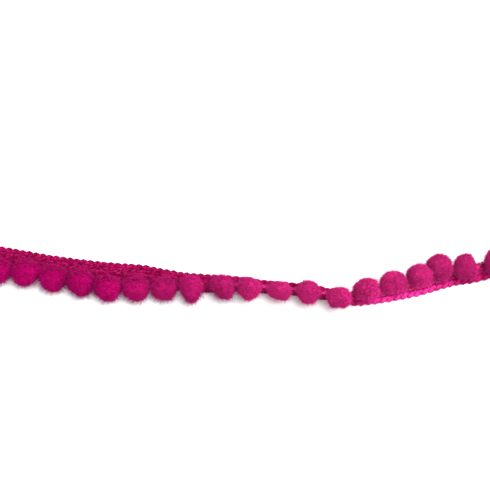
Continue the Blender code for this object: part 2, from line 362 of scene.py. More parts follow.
class Reading:
    """A shader number, so that shader maths is written as an expression."""

    def __init__(self, tree: bpy.types.NodeTree, socket: bpy.types.NodeSocket) -> None:
        """Wraps a socket of a node tree."""
        self.tree = tree
        self.socket = socket

    def combine(self, operation: str, first: "Reading | float", second: "Reading | float") -> "Reading":
        """Adds a Math node.

        Args:
            operation: The node's operation.
            first: Its first value.
            second: Its second value.

        Returns:
            The node's result.
        """
        made = self.tree.nodes.new("ShaderNodeMath")
        made.operation = operation
        for place, value in enumerate((first, second)):
            if isinstance(value, Reading):
                self.tree.links.new(value.socket, made.inputs[place])
            else:
                made.inputs[place].default_value = value
        return Reading(self.tree, made.outputs[0])

    def __add__(self, other: "Reading | float") -> "Reading":
        """Sum."""
        return self.combine("ADD", self, other)

    __radd__ = __add__

    def __mul__(self, other: "Reading | float") -> "Reading":
        """Product."""
        return self.combine("MULTIPLY", self, other)

    __rmul__ = __mul__

    def __sub__(self, other: "Reading | float") -> "Reading":
        """Difference."""
        return self.combine("SUBTRACT", self, other)

    def __rsub__(self, other: float) -> "Reading":
        """Difference from a number."""
        return self.combine("SUBTRACT", other, self)

    def sine(self) -> "Reading":
        """Sine of an angle in radians."""
        return self.combine("SINE", self, 0.0)


class Finish:
    """A material under construction: its tree, its Principled shader and one way to add any node."""

    def __init__(self, name: str, colour: Colour) -> None:
        """Starts a material.

        Args:
            name: The material's name.
            colour: Its plain colour, for a solid view.
        """
        self.material = bpy.data.materials.new(name)
        self.material.use_nodes = True
        self.material.diffuse_color = (*colour, 1.0)
        self.tree = self.material.node_tree
        self.shader = self.tree.nodes["Principled BSDF"]

    def node(self, kind: str, settings: dict[str, object] | None = None,
             values: dict[int | str, object] | None = None) -> bpy.types.Node:
        """Adds a node.

        Args:
            kind: The node's type.
            settings: Its own settings, set first.
            values: Its sockets' values, or the readings or sockets linked to them.

        Returns:
            The node.
        """
        made = self.tree.nodes.new(kind)
        for name, value in (settings or {}).items():
            setattr(made, name, value)
        for name, value in (values or {}).items():
            self.feed(made.inputs[name], value)
        return made

    def feed(self, socket: bpy.types.NodeSocket, value: object) -> None:
        """Links a reading or a socket to a socket, or sets its value, a colour with full alpha."""
        if isinstance(value, Reading):
            self.tree.links.new(value.socket, socket)
        elif isinstance(value, bpy.types.NodeSocket):
            self.tree.links.new(value, socket)
        else:
            socket.default_value = (*value, 1.0) if isinstance(value, tuple) else value

    def shade(self, values: dict[str, object]) -> None:
        """Feeds the shader's own sockets with numbers, colours or links."""
        for name, value in values.items():
            self.feed(self.shader.inputs[name], value)

    def reading(self, node: bpy.types.Node, output: int | str = 0) -> Reading:
        """A node's output as a shader number."""
        return Reading(self.tree, node.outputs[output])

    def tone(self) -> Reading:
        """The number that the mesh keeps for each vertex."""
        return self.reading(self.node("ShaderNodeAttribute", {"attribute_name": TONE}), "Fac")

    def place(self) -> bpy.types.NodeSocket:
        """The place on the piece."""
        return self.node("ShaderNodeTexCoord").outputs["Object"]

    def noise(self, scale: float, detail: float) -> Reading:
        """Soft noise over the piece, so many lumps a metre."""
        values = {"Vector": self.place(), "Scale": scale, "Detail": detail}
        return self.reading(self.node("ShaderNodeTexNoise", None, values))

    def blend(self, share: object, first: object, second: object) -> bpy.types.NodeSocket:
        """A Mix of two colours by a share."""
        made = self.node("ShaderNodeMix", {"data_type": "RGBA"}, {0: share, 6: first, 7: second})
        return made.outputs[2]


@dataclass(frozen=True)
class YarnFinish:
    """Twisted magenta yarn: fine diagonal plies, darker in its hollows, which is painted shade, with a soft
    sheen.

    A yarn with a lighter colour of painted light shows it by the number kept for each vertex.
    """

    name: str
    deep: Colour
    light: Colour
    plies_each_metre: float
    # A lighter colour of painted light.
    painted_light_colour: Colour | None = None
    # Strength of random specks, partly painted glints.
    speck_and_glint: float = 2.8
    roughness: float = 0.62
    ply_slant: float = 3.0
    ply_depth: float = 0.06 * MM
    cloud_scale: float = 420.0
    speck_scale: float = 1500.0
    fibre_scale: float = 4200.0

    def material(self) -> bpy.types.Material:
        """Builds the material: plies on the yarn's own map, clouds, specks and fibres move its colour."""
        finish = Finish(self.name, self.light)
        spread = finish.node("ShaderNodeUVMap", {"uv_map": YARN_MAP}).outputs[0]
        parts = finish.node("ShaderNodeSeparateXYZ", None, {0: spread})
        wound = finish.reading(parts, 0) * self.plies_each_metre + finish.reading(parts, 1) * self.ply_slant
        ply = (wound * (2 * math.pi)).sine() * 0.5 + 0.5
        cloud = finish.noise(self.cloud_scale, 2.0)
        fibre = finish.noise(self.fibre_scale, 1.0)
        speck = finish.noise(self.speck_scale, 1.5)
        # Painted shade: the ply wave darkens the hollows between the plies. The clouds and fibres are random
        # tone, and the specks are random tone and partly painted glints.
        share = ply * 0.3 + cloud * 0.4 + fibre * 0.2 + (speck - 0.5) * self.speck_and_glint
        colour = finish.blend(share, self.deep, self.light)
        # Painted light: the lighter colour where the kept number asks for it.
        if self.painted_light_colour:
            lighter = finish.blend(share * 0.8 + 0.35, self.light, self.painted_light_colour)
            colour = finish.blend(finish.tone(), colour, lighter)
        relief = {"Strength": 0.6, "Distance": self.ply_depth, "Height": ply + fibre * 0.5}
        finish.shade({
            "Base Color": colour,
            "Roughness": fibre * 0.2 + (self.roughness - 0.1),
            "Normal": finish.node("ShaderNodeBump", None, relief).outputs[0],
            "Specular IOR Level": 0.12,
            "Specular Tint": (1.0, 0.1, 0.5),
            "Sheen Weight": 0.15,
            "Sheen Roughness": 0.4,
            "Sheen Tint": (1.0, 0.05, 0.45),
        })
        return finish.material


@dataclass(frozen=True)
class PileFinish:
    """Dense matt cut pile with painted shade: dark where it is deep, lighter at its tips, greyer on its low
    stray hairs; painted light lightens it towards the right.
    """

    name: str
    # Painted shade: the deep colour of the pile against the colour of its tips.
    root: Colour
    tip: Colour
    # Painted light: the root and tip colours that the pile fades to towards the right.
    painted_light_root: Colour
    painted_light_tip: Colour
    # Painted shade: the grey of low stray hairs.
    fuzz_shade: Colour
    # Where the painted light starts and how far it runs.
    painted_light_from: float = -42.0 * MM
    painted_light_run: float = 50.0 * MM
    roughness: float = 0.9
    tuft_scale: float = 2200.0
    cloud_scale: float = 160.0

    def material(self) -> bpy.types.Material:
        """Builds the material: the kept number and two noises move its colour, with painted light towards the
        right.

        Returns:
            The material. A number above zero says how far out a vertex is, for painted shade deep in the
            pile, and one below it how grey, for painted shade on low hairs.
        """
        finish = Finish(self.name, self.tip)
        depth = finish.tone()
        tuft = finish.noise(self.tuft_scale, 1.0)
        # Painted shade: the kept number darkens the pile where it is deep.
        share = depth * 0.8 + tuft * 1.3 + finish.noise(self.cloud_scale, 1.0) * 0.3 - 0.75
        along = finish.reading(finish.node("ShaderNodeSeparateXYZ", None, {0: finish.place()}), 0)
        # Painted light: lighter and pinker towards the right.
        painted_light_share = (along - self.painted_light_from) * (1 / self.painted_light_run)
        held = finish.blend(painted_light_share, self.root, self.painted_light_root)
        lit = finish.blend(painted_light_share, self.tip, self.painted_light_tip)
        # Painted shade: numbers below zero blend towards the grey of low hairs.
        finish.shade({
            "Base Color": finish.blend(depth * -1.0, finish.blend(share, held, lit), self.fuzz_shade),
            "Roughness": tuft * 0.1 + (self.roughness - 0.05),
            "Specular IOR Level": 0.0,
            "Sheen Weight": 0.12,
            "Sheen Roughness": 0.5,
            "Sheen Tint": (1.0, 0.2, 0.55),
        })
        return finish.material


def dress(piece: bpy.types.Object, material: bpy.types.Material) -> bpy.types.Object:
    """Gives a piece its finish and fixes it to the body.

    Args:
        piece: The piece.
        material: Its finish.

    Returns:
        The same piece.
    """
    piece.data.materials.clear()
    piece.data.materials.append(material)
    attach(piece, BODY)
    log.info("%s: %d faces", piece.name, len(piece.data.polygons))
    return piece


@dataclass(frozen=True)
class ChainRow:
    """A row of chain stitches: its face, its place across, how far on it starts and how far it stands up."""

    face: int
    out: float
    shift: float
    raised: float = 0.0


@dataclass
class HeadingTape:
    """The tape: thin ground, crossing yarns, loops whipped round the looped edge, rows of chain stitch."""

    lie: TapeLie
    trim_width: float = 12.0 * MM
    loop_pitch: float = 2.05 * MM
    ground_thick: float = 0.35 * MM
    ground_margin: float = 0.45 * MM
    ground_least: float = 0.1 * MM
    whip_edge: float = -2.62 * MM
    whip_upper: float = 1.0 * MM
    whip_under: float = 1.8 * MM
    whip_upper_lean: float = 0.15 * MM
    whip_under_lean: float = 2.7 * MM
    whip_height: float = 0.36 * MM
    whip_strands: int = 3
    whip_radius: float = 0.29 * MM
    whip_spread: float = 0.55 * MM
    whip_gather: float = 0.44 * MM
    whip_bulge: float = 0.18 * MM
    whip_round: float = 0.05 * MM
    whip_stagger: float = 0.08 * MM
    whip_wobble: float = 0.06 * MM
    whip_steps: int = 20
    # Where on each turn its painted highlight sits, in degrees.
    highlight_turn: float = 305.0
    # Painted light along the tape: its stretch, its rise, and how much of it falls away after.
    lit_span: tuple[float, float] = (115.0 * MM, 137.0 * MM)
    lit_run: float = 12.0 * MM
    lit_fall: float = 0.8
    cross_radius: float = 0.15 * MM
    cross_height: float = 0.22 * MM
    cross_inner: float = -1.3 * MM
    cross_aside: float = 0.1 * MM
    cross_apart: float = 0.34 * MM
    cross_steps: int = 24
    chain_rows: tuple[ChainRow, ...] = (
        ChainRow(1, -1.85 * MM, 0.25, 0.14 * MM), ChainRow(1, -0.8 * MM, 0.6, -0.08 * MM),
        ChainRow(1, 0.3 * MM, 0.75), ChainRow(1, 1.9 * MM, 0.25),
        ChainRow(-1, -0.6 * MM, 0.6), ChainRow(-1, 0.5 * MM, 0.25), ChainRow(-1, 2.1 * MM, 0.75),
    )
    chain_radius: float = 0.19 * MM
    chain_swing: float = 0.34 * MM
    chain_lift: float = 0.2 * MM
    chain_cross: float = 0.1 * MM
    chain_uneven: float = 0.22
    chain_steps: int = 9

    def lit(self, distance: np.ndarray) -> np.ndarray:
        """The share of painted light: none at the left, all over a stretch, and a little past it."""
        start, end = self.lit_span
        return ramp(distance, start, self.lit_run) * (1 - self.lit_fall * ramp(distance, end, self.lit_run))

    def turns(self, steps_each: int) -> np.ndarray:
        """The loops from cut to cut as one row of numbers, in so many steps a loop."""
        count = self.lie.length / self.loop_pitch
        return np.linspace(0.0, count, int(count * steps_each))[None, :]

    def ground(self) -> bpy.types.Object:
        """The thin cloth inside the yarns: one closed band, four points round its section.

        Returns:
            The piece.
        """
        inset = 0.1 * MM
        steps = int(self.lie.length / (0.5 * MM))
        distance = np.linspace(inset, self.lie.length - inset, steps)
        half = self.lie.full_width / 2 - self.ground_margin
        thick = self.ground_thick / 2
        corners = ((-half, thick), (half, thick), (half, -thick), (-half, -thick))
        rings = [self.lie.place(distance, np.full(steps, out), np.full(steps, height), self.ground_least)
                 for out, height in corners]
        index = np.arange(steps * len(corners)).reshape(steps, len(corners))
        caps = np.stack([index[0, ::-1], index[-1]])
        maker = MeshMaker()
        maker.add(np.stack(rings, axis=1), [strips(index[:-1], index[1:]), caps])
        return maker.build("heading_tape_ground")

    def whipped_edge(self) -> bpy.types.Object:
        """The looped edge: slanting turns of a few strands round the edge, one turn a loop.

        From the edge each turn runs in over the upper face by one depth and back out over the under face by a
        longer one: the depth times half of one less a softened cosine of the turn. The height is a softened
        sine. The strands lie side by side and gather at the edge, where the middle one reaches out furthest.
        The inner end leans forward, by more on the under face, where each turn carries one painted highlight:
        a ramp of the cosine of the turn less the highlight's own turn.

        Returns:
            The piece.
        """
        turn = self.turns(self.whip_steps)
        angle = 2 * np.pi * turn
        rank = (np.arange(self.whip_strands) - (self.whip_strands - 1) / 2)[:, None]
        inward = (1 - soften(np.cos(angle), 0.75)) / 2
        rise = soften(np.sin(angle), 0.6)
        upper = (1 + np.tanh(3 * np.sin(angle))) / 2
        depth = self.whip_under + (self.whip_upper - self.whip_under) * upper
        lean = self.whip_under_lean + (self.whip_upper_lean - self.whip_under_lean) * upper
        at_edge = np.maximum(np.cos(angle), 0.0) ** 2
        gap = self.whip_spread * (1 - at_edge) + self.whip_gather * at_edge
        wobble = self.whip_wobble * np.sin(turn * 2.3) * np.cos(turn * 0.71 + rank)
        bulge = self.whip_bulge * at_edge * (1 - (rank / rank.max()) ** 2)
        out = self.whip_edge + depth * inward - bulge + wobble
        rounded = self.whip_round * np.sign(rise) * (1 - at_edge) * (1 - rank ** 2)
        height = rise * self.whip_height + at_edge * rank * self.whip_stagger + rounded
        distance = np.clip(turn * self.loop_pitch + lean * inward + rank * gap + wobble, 0.0, self.lie.length)
        points = self.lie.place(distance, out, height, self.whip_radius)
        # Painted highlight: one light patch on each turn's under face, brightened by the painted light along
        # the tape.
        painted_highlight = ramp(np.cos(angle - math.radians(self.highlight_turn)), 0.2, 0.6) * np.maximum(-rise, 0.0)
        tone = painted_highlight * self.lit(distance) * (1 + 0.3 * np.sin(turn * 2.9 + rank * 1.9))
        maker = MeshMaker()
        tubes(maker, points, self.lie.at(distance).run, self.whip_radius, 6, tone)
        return maker.build("whipped_edge")

    def crossing_yarn(self, number: int) -> bpy.types.Object:
        """One of two crossing yarns that fill the tape between the whipped edge and the pompom edge.

        The place across swings between the two edges as a softened cosine and the height follows a softened
        sine, so each pass slants over one face and back under the other.

        Args:
            number: 0 or 1, half a turn behind each other.

        Returns:
            The piece.
        """
        turn = self.turns(self.cross_steps)
        rank = np.array([-0.5, 0.5])[:, None]
        angle = 2 * np.pi * (turn + number / 2) + 0.25 * np.sin(turn * 1.7 + number)
        low = self.cross_inner
        high = self.lie.full_width / 2 - self.cross_radius
        swing = (high - low) / 2 * soften(np.cos(angle), 0.6)
        out = (low + high) / 2 + swing + rank * self.cross_aside
        height = soften(np.sin(angle), 0.5) * self.cross_height * np.ones_like(out)
        distance = np.clip(turn * self.loop_pitch + rank * self.cross_apart, 0.0, self.lie.length)
        points = self.lie.place(distance, out, height, self.cross_radius)
        maker = MeshMaker()
        # Painted light over the lit stretch.
        tubes(maker, points, self.lie.at(distance).run, self.cross_radius, 5, self.lit(distance))
        return maker.build(f"crossing_yarn_{number + 1}")

    def chain_stitch(self, face: int) -> bpy.types.Object:
        """The chain stitches on one face: in each row two threads swing aside and cross at each stitch.

        A thread's place across is a sine of the stitch, its height falls by the sine's size, and the sine
        times the cosine parts the two threads. A slow sine times a slow cosine makes the stitches uneven.

        Args:
            face: 1 for the face that is up at the left, -1 for the other.

        Returns:
            The piece.
        """
        count = self.turns(self.chain_steps)
        least = self.chain_radius * (1 + self.chain_uneven)
        maker = MeshMaker()
        for row in (row for row in self.chain_rows if row.face == face):
            stitch = count + row.shift
            uneven = 1 + self.chain_uneven * np.sin(stitch * 1.37 + row.out / MM) * np.cos(stitch * 0.53)
            side = np.array([1.0, -1.0])[:, None]
            swing = side * np.sin(np.pi * stitch)
            out = row.out + swing * self.chain_swing * uneven
            lift = self.chain_lift * uneven * (0.5 - np.abs(np.sin(np.pi * stitch)))
            crossed = swing * np.cos(np.pi * stitch) * self.chain_cross
            height = face * (self.cross_height + self.cross_radius + row.raised + lift + crossed)
            distance = np.clip(count * self.loop_pitch * np.ones_like(out), 0.0, self.lie.length)
            points = self.lie.place(distance, out, height, least)
            # Painted light on the under face over the lit stretch.
            tone = 0.0 if face > 0 else self.lit(distance)
            tubes(maker, points, self.lie.at(distance).face, self.chain_radius * uneven, 5, tone)
        return maker.build("chain_stitch_upper" if face > 0 else "chain_stitch_under")

    def make(self, finishes: dict[Strand, bpy.types.Material], others: Sequence[bpy.types.Object]) -> None:
        """Builds and dresses the tape's pieces and hides the part's own tape.

        Args:
            finishes: The material of each kind of yarn.
            others: Not used.
        """
        ground = dress(self.ground(), finishes[Strand.GROUND])
        yarns = [dress(self.whipped_edge(), finishes[Strand.LOOP])]
        yarns += [dress(self.crossing_yarn(number), finishes[Strand.GROUND]) for number in (0, 1)]
        yarns += [dress(self.chain_stitch(face), finishes[Strand.CHAIN]) for face in (1, -1)]
        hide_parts("heading_tape")


@dataclass
class Pompom:
    """One ball of cut pile on its seat at the tape's pompom edge."""

    name: str
    lie: TapeLie
    along_mm: float
    across_mm: float
    face: int
    reaches_mm: Sequence[float]
    seed: int
    half_height: float = 3.5 * MM
    pressed: float = 3.05 * MM
    dented: float = 2.6 * MM
    gap: float = 0.35 * MM
    rib: float = 0.18 * MM
    edge_slope: float = 1.1 * MM
    tape_room: float = 0.05 * MM
    skirt: float = 0.42
    turned_skirt: float = 0.16
    skirt_tilt: float = -26.0
    skirt_spread: float = 24.0
    lumps: int = 9
    lump_depth: float = 0.014
    softness: float = 14.0
    core_share: float = 0.86
    pile_over: float = 1.05
    loose_share: float = 0.16
    loose_over: float = 1.2
    spikes: int = 5400
    spike_width: float = 0.068 * MM
    tufts: int = 430
    tuft_pull: float = 0.55
    # Painted shade and light in the pile's colour: shade where it is pressed, towards the tape, under the
    # tape's threads and on the balls at the right, and light towards the tape past the half turn.
    painted_contact_shade: float = 0.85
    painted_tapeward_shade: float = 0.4
    painted_tapeward_light: float = -0.8
    painted_thread_shade: float = 0.75
    thread_shade_to_mm: float = -18.0
    thread_shade_run_mm: float = 15.0
    painted_dim_shade: float = 0.55
    painted_dim_from_mm: float = 51.0
    painted_dim_run_mm: float = 5.0
    shaggy_to_mm: float = -5.0
    hairs: int = 380
    more_hairs: int = 260
    hair_length: float = 1.2 * MM
    short_hair: float = 0.75 * MM
    hair_width: float = 0.032 * MM

    def __post_init__(self) -> None:
        """Works out the seat: the ball's middle and the planes that it rests against.

        The tape's edge slopes from its full thickness to nothing, so the middle clears both the tip and the
        slope's top. The pile may pass over the tape's face or off its edge, and stops where it does neither.
        """
        spot = self.lie.at(np.array([self.lie.distance(self.along_mm * MM)]))
        middle, across, face = spot.middle[0], spot.across[0], spot.face[0]
        off = self.across_mm * MM
        upward = face * self.face
        touch = self.dented + self.gap
        thick = self.lie.thickness / 2 + self.rib
        from_tip = max(off, 0.0)
        from_slope = max(off + self.edge_slope, 0.0)
        over_tip = math.sqrt(max(touch ** 2 - from_tip ** 2, 0.0))
        over_slope = thick + math.sqrt(touch ** 2 - from_slope ** 2) if from_slope < touch else 0.0
        self.edge = middle + across * (spot.width[0] / 2)
        self.middle = self.edge + across * off + upward * max(over_tip, over_slope)
        self.middle[2] = max(self.middle[2], self.pressed)
        self.run = spot.run[0]
        self.toward_tape = -across
        levelness = float(across[0] ** 2 + across[1] ** 2)
        beyond = max(float(ramp(off, 0.3 * MM, 2.0 * MM)), 0.1)
        self.skirt_size = self.skirt * levelness * beyond if self.face > 0 else self.turned_skirt
        over_face = float((self.middle - middle) @ upward) - thick - self.tape_room
        past_edge = float((self.middle - self.edge) @ across) - self.tape_room
        self.tape_limits = ((-upward, max(over_face, 0.0)), (-across, max(past_edge, 0.0)))
        self.rests = [(-UP, self.middle[2])]

    def skirt_share(self, ways: np.ndarray) -> np.ndarray:
        """How much a way points into the skirt, where the pile spreads low over the tape and beside its edge.

        Args:
            ways: Unit directions in the world.

        Returns:
            A bell of the way's tilt about the skirt's own, times a soft step from past sideways to tapeward.
        """
        level = unit(ways[:, :2] + 1e-9) @ unit(self.toward_tape[:2])
        tilt = np.degrees(np.arcsin(np.clip(ways[:, 2], -1.0, 1.0)))
        bell = np.exp(-((tilt - self.skirt_tilt) / self.skirt_spread) ** 2)
        step = ramp(level, -0.25, 0.75)
        return bell * step * step * (3 - 2 * step)

    def reach(self, ways: np.ndarray) -> np.ndarray:
        """How far the pile's surface is from the middle.

        Args:
            ways: Unit directions in the world.

        Returns:
            The plan reach is the cubic through the four nearest of the eight given. The reach is one over the
            square root of (the level share of the way over the plan reach) squared plus (its height over half
            the ball's height) squared, times soft lumps (a few cosines of the way) and the skirt's share. It
            is softly held inside the planes of what the ball rests on, and before the tape, which it may pass
            over its face or off its edge, whichever lets it go further.
        """
        known = np.array(self.reaches_mm) * MM
        turn = np.arctan2(ways[:, 1], ways[:, 0]) / (2 * np.pi) * len(known)
        first = np.floor(turn).astype(int)
        t = turn - first
        before, here, after, beyond = (known[(first + step) % len(known)] for step in (-1, 0, 1, 2))
        bend = 2 * before - 5 * here + 4 * after - beyond + t * (3 * (here - after) + beyond - before)
        plan = here + t / 2 * (after - before + t * bend)
        radius = 1 / np.hypot(np.hypot(ways[:, 0], ways[:, 1]) / plan, ways[:, 2] / self.half_height)
        random = np.random.default_rng(self.seed)
        lumps = np.zeros(len(ways))
        for _ in range(self.lumps):
            lean = unit(random.normal(size=3)) * random.uniform(3.0, 9.0)
            lumps += np.cos(ways @ lean + random.uniform(0, 2 * np.pi))
        radius = radius * (1 + self.lump_depth * lumps) * (1 + self.skirt_size * self.skirt_share(ways))
        blocked = [np.maximum(ways @ down, 0.0) / max(room, 0.01 * MM) for down, room in self.tape_limits]
        held = radius ** -self.softness + np.minimum(*blocked) ** self.softness
        for down, room in self.rests:
            held = held + (np.maximum(ways @ down, 0.0) / room) ** self.softness
        return held ** (-1 / self.softness)

    def contact_shade_share(self, ways: np.ndarray) -> np.ndarray:
        """How much a way points at what the ball is pressed against, where painted shade darkens the shut in
        pile.
        """
        return np.max([ramp(ways @ down, 0.35, 0.5) for down, _ in self.rests], axis=0)

    def core(self, maker: MeshMaker) -> None:
        """Adds the dense inside of the ball: a grid of latitude and longitude closed at its poles.

        Args:
            maker: Where it goes.
        """
        rows, columns = 20, 36
        tilt = (np.pi * (np.arange(rows) + 1) / (rows + 1))[:, None]
        turn = 2 * np.pi * np.arange(columns) / columns
        level, height = np.sin(tilt), np.cos(tilt) * np.ones(columns)
        grid = np.stack([level * np.cos(turn), level * np.sin(turn), height], axis=-1).reshape(-1, 3)
        ways = np.concatenate([grid, [UP, -UP]])
        points = self.middle + ways * (self.reach(ways) * (self.core_share + 0.02))[:, None]
        index = np.arange(rows * columns).reshape(rows, columns)
        here, below = index[:-1], index[1:]
        quads = np.stack([here, below, np.roll(below, -1, 1), np.roll(here, -1, 1)], axis=-1).reshape(-1, 4)
        first, last = index[0], index[-1]
        poles = np.full((2, columns), rows * columns) + [[0], [1]]
        fans = np.concatenate([
            np.stack([poles[0], first, np.roll(first, -1)], axis=-1),
            np.stack([poles[1], np.roll(last, -1), last], axis=-1),
        ])
        # Painted shade: the inside of the ball is kept dark.
        maker.add(points, [quads, fans], 0.2)

    def evenly(self, count: int, random: np.random.Generator) -> np.ndarray:
        """Directions spread evenly over the ball: a golden angle spiral, each moved a little.

        Args:
            count: How many.
            random: What moves them.

        Returns:
            Unit directions in the world.
        """
        step = np.arange(count) + 0.5
        height = 1 - 2 * step / count
        turn = step * np.pi * (3 - math.sqrt(5))
        ring = np.sqrt(1 - height ** 2)
        ways = np.stack([ring * np.cos(turn), ring * np.sin(turn), height], axis=-1)
        return unit(ways + random.normal(scale=0.6 / math.sqrt(count), size=ways.shape))

    def painted_shading(self, shade: np.ndarray, tips: np.ndarray) -> np.ndarray:
        """The pile's shade with painted shade and painted light for its place.

        Args:
            shade: The shade of each tip in the open.
            tips: The way to each tip.

        Returns:
            Shade times one less the painted shade where the pile is shut in, towards the tape, under the
            tape's threads, and on the dimmer balls at the right. Past the half turn the tapeward side gains
            painted light.
        """
        level = tips @ self.toward_tape
        under_threads = 1 - ramp(self.along_mm, self.thread_shade_to_mm - self.thread_shade_run_mm, self.thread_shade_run_mm)
        # Painted shade towards the tape, painted light there past the half turn, and painted shade under the
        # tape's threads.
        lost = self.painted_tapeward_shade if self.face > 0 else self.painted_tapeward_light
        tapeward = lost * ramp(level, -0.1, 1.0) + self.painted_thread_shade * under_threads * ramp(level, 0.3, 0.5)
        # Painted shade on the balls at the right.
        dimming = ramp(self.along_mm, self.painted_dim_from_mm, self.painted_dim_run_mm)
        unshaded_share = (1 - self.painted_contact_shade * self.contact_shade_share(tips)) * (1 - np.minimum(tapeward, 0.95))
        return shade * unshaded_share * (1 - self.painted_dim_shade * dimming)

    def pile(self, maker: MeshMaker, random: np.random.Generator) -> None:
        """Adds the pile: slim three-sided spikes that lean together in tufts of uneven height and shade.

        Args:
            maker: Where it goes.
            random: What makes it uneven.
        """
        roots = self.evenly(self.spikes, random)
        centres = self.evenly(self.tufts, random)
        tuft = np.argmax(roots @ centres.T, axis=1)
        drawn = (centres[tuft] - roots) * self.tuft_pull
        tips = unit(roots + drawn + random.normal(scale=0.03, size=roots.shape))
        low = self.middle + roots * (self.reach(roots) * self.core_share)[:, None]
        tall = random.uniform(0.9, 1.04, size=self.tufts)[tuft] * random.uniform(0.96, 1.03, size=self.spikes)
        loose = random.random(self.spikes) < self.loose_share
        tall = tall * np.where(loose, random.uniform(1.02, self.loose_over, size=self.spikes), 1.0)
        high = self.middle + tips * (self.reach(tips) * tall * self.pile_over)[:, None]
        high[:, 2] = np.maximum(high[:, 2], 0.02 * MM)
        ahead = unit(high - low)
        first = unit(np.cross(ahead, random.normal(size=ahead.shape)))
        second = np.cross(ahead, first)
        angle = 2 * np.pi * np.arange(3) / 3
        ring = first[:, None] * np.cos(angle)[:, None] + second[:, None] * np.sin(angle)[:, None]
        points = np.concatenate([low[:, None] + ring * self.spike_width, high[:, None]], axis=1)
        start = 4 * np.arange(self.spikes)[:, None]
        faces = np.concatenate([start + corner for corner in ([0, 1, 3], [1, 2, 3], [2, 0, 3], [2, 1, 0])])
        shade = random.uniform(0.2, 1.0, size=self.tufts)[tuft] * random.uniform(0.7, 1.0, size=self.spikes)
        # Painted shade and painted light for the ball's place.
        shade = self.painted_shading(shade, tips)
        # Painted shade: each spike's root takes about a third of its tip's number.
        maker.add(points, [faces], (shade[:, None] * [0.35, 0.35, 0.35, 1.0]).ravel())

    def stray(self, maker: MeshMaker, random: np.random.Generator) -> None:
        """Adds fine hairs that curve out of the pile: more and longer at the left, and grey where low, which
        is painted shade.

        Args:
            maker: Where they go.
            random: What makes them uneven.
        """
        steps, sides = 4, 3
        shaggy = self.along_mm < self.shaggy_to_mm
        ways = self.evenly(self.hairs + (self.more_hairs if shaggy else 0), random)
        start = self.middle + ways * (self.reach(ways) * 0.93)[:, None]
        bend = unit(np.cross(ways, random.normal(size=ways.shape)))
        share = np.linspace(0, 1, steps)[None, :, None]
        length = self.hair_length if shaggy else self.short_hair
        long = length * random.uniform(0.4, 1.5, size=(len(ways), 1, 1)) ** 1.5
        curl = random.uniform(0.2, 1.0, size=(len(ways), 1, 1))
        paths = start[:, None] + long * (ways[:, None] * share + bend[:, None] * share ** 2 * curl)
        paths[..., 2] = np.maximum(paths[..., 2], self.hair_width)
        beside = np.cross(ways, bend)[:, None] * np.ones((1, steps, 1))
        # Painted shade: on the left balls, hairs that point low and away from the tape turn grey, and the
        # rest are dark.
        grey = ramp(-(ways @ self.toward_tape), -0.1, 0.5) * ramp(-ways[:, 2], -0.55, 0.4)
        tone = 0.15 - 0.95 * grey[:, None] if shaggy else 0.6
        tubes(maker, paths, beside, self.hair_width * (1 - 0.6 * share[..., 0]), sides, tone)

    def make(self, material: bpy.types.Material) -> bpy.types.Object:
        """Builds and dresses the pompom.

        Args:
            material: Its finish.

        Returns:
            The piece, which replaces the part's solid of the same number.
        """
        random = np.random.default_rng(self.seed + 1000)
        maker = MeshMaker()
        self.core(maker)
        self.pile(maker, random)
        self.stray(maker, random)
        piece = dress(maker.build(f"{self.name}_pile"), material)
        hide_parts(self.name)
        return piece


def press_together(pompoms: Sequence[Pompom]) -> None:
    """Gives each two neighbours that meet a plane between them.

    Args:
        pompoms: The pompoms in order along the tape. Where the reaches of two add up to more than the way
            between their middles, the plane stands across that way and shares it as the reaches do.
    """
    planes = []
    for one, other in zip(pompoms, pompoms[1:]):
        way = other.middle - one.middle
        room = float(np.linalg.norm(way))
        ahead = way / room
        reaches = (float(one.reach(ahead[None])[0]), float(other.reach(-ahead[None])[0]))
        if sum(reaches) > room:
            planes += [(ball, side * ahead, room * reach / sum(reaches))
                       for ball, side, reach in zip((one, other), (1.0, -1.0), reaches)]
    for ball, ahead, room in planes:
        ball.rests.append((ahead, room))


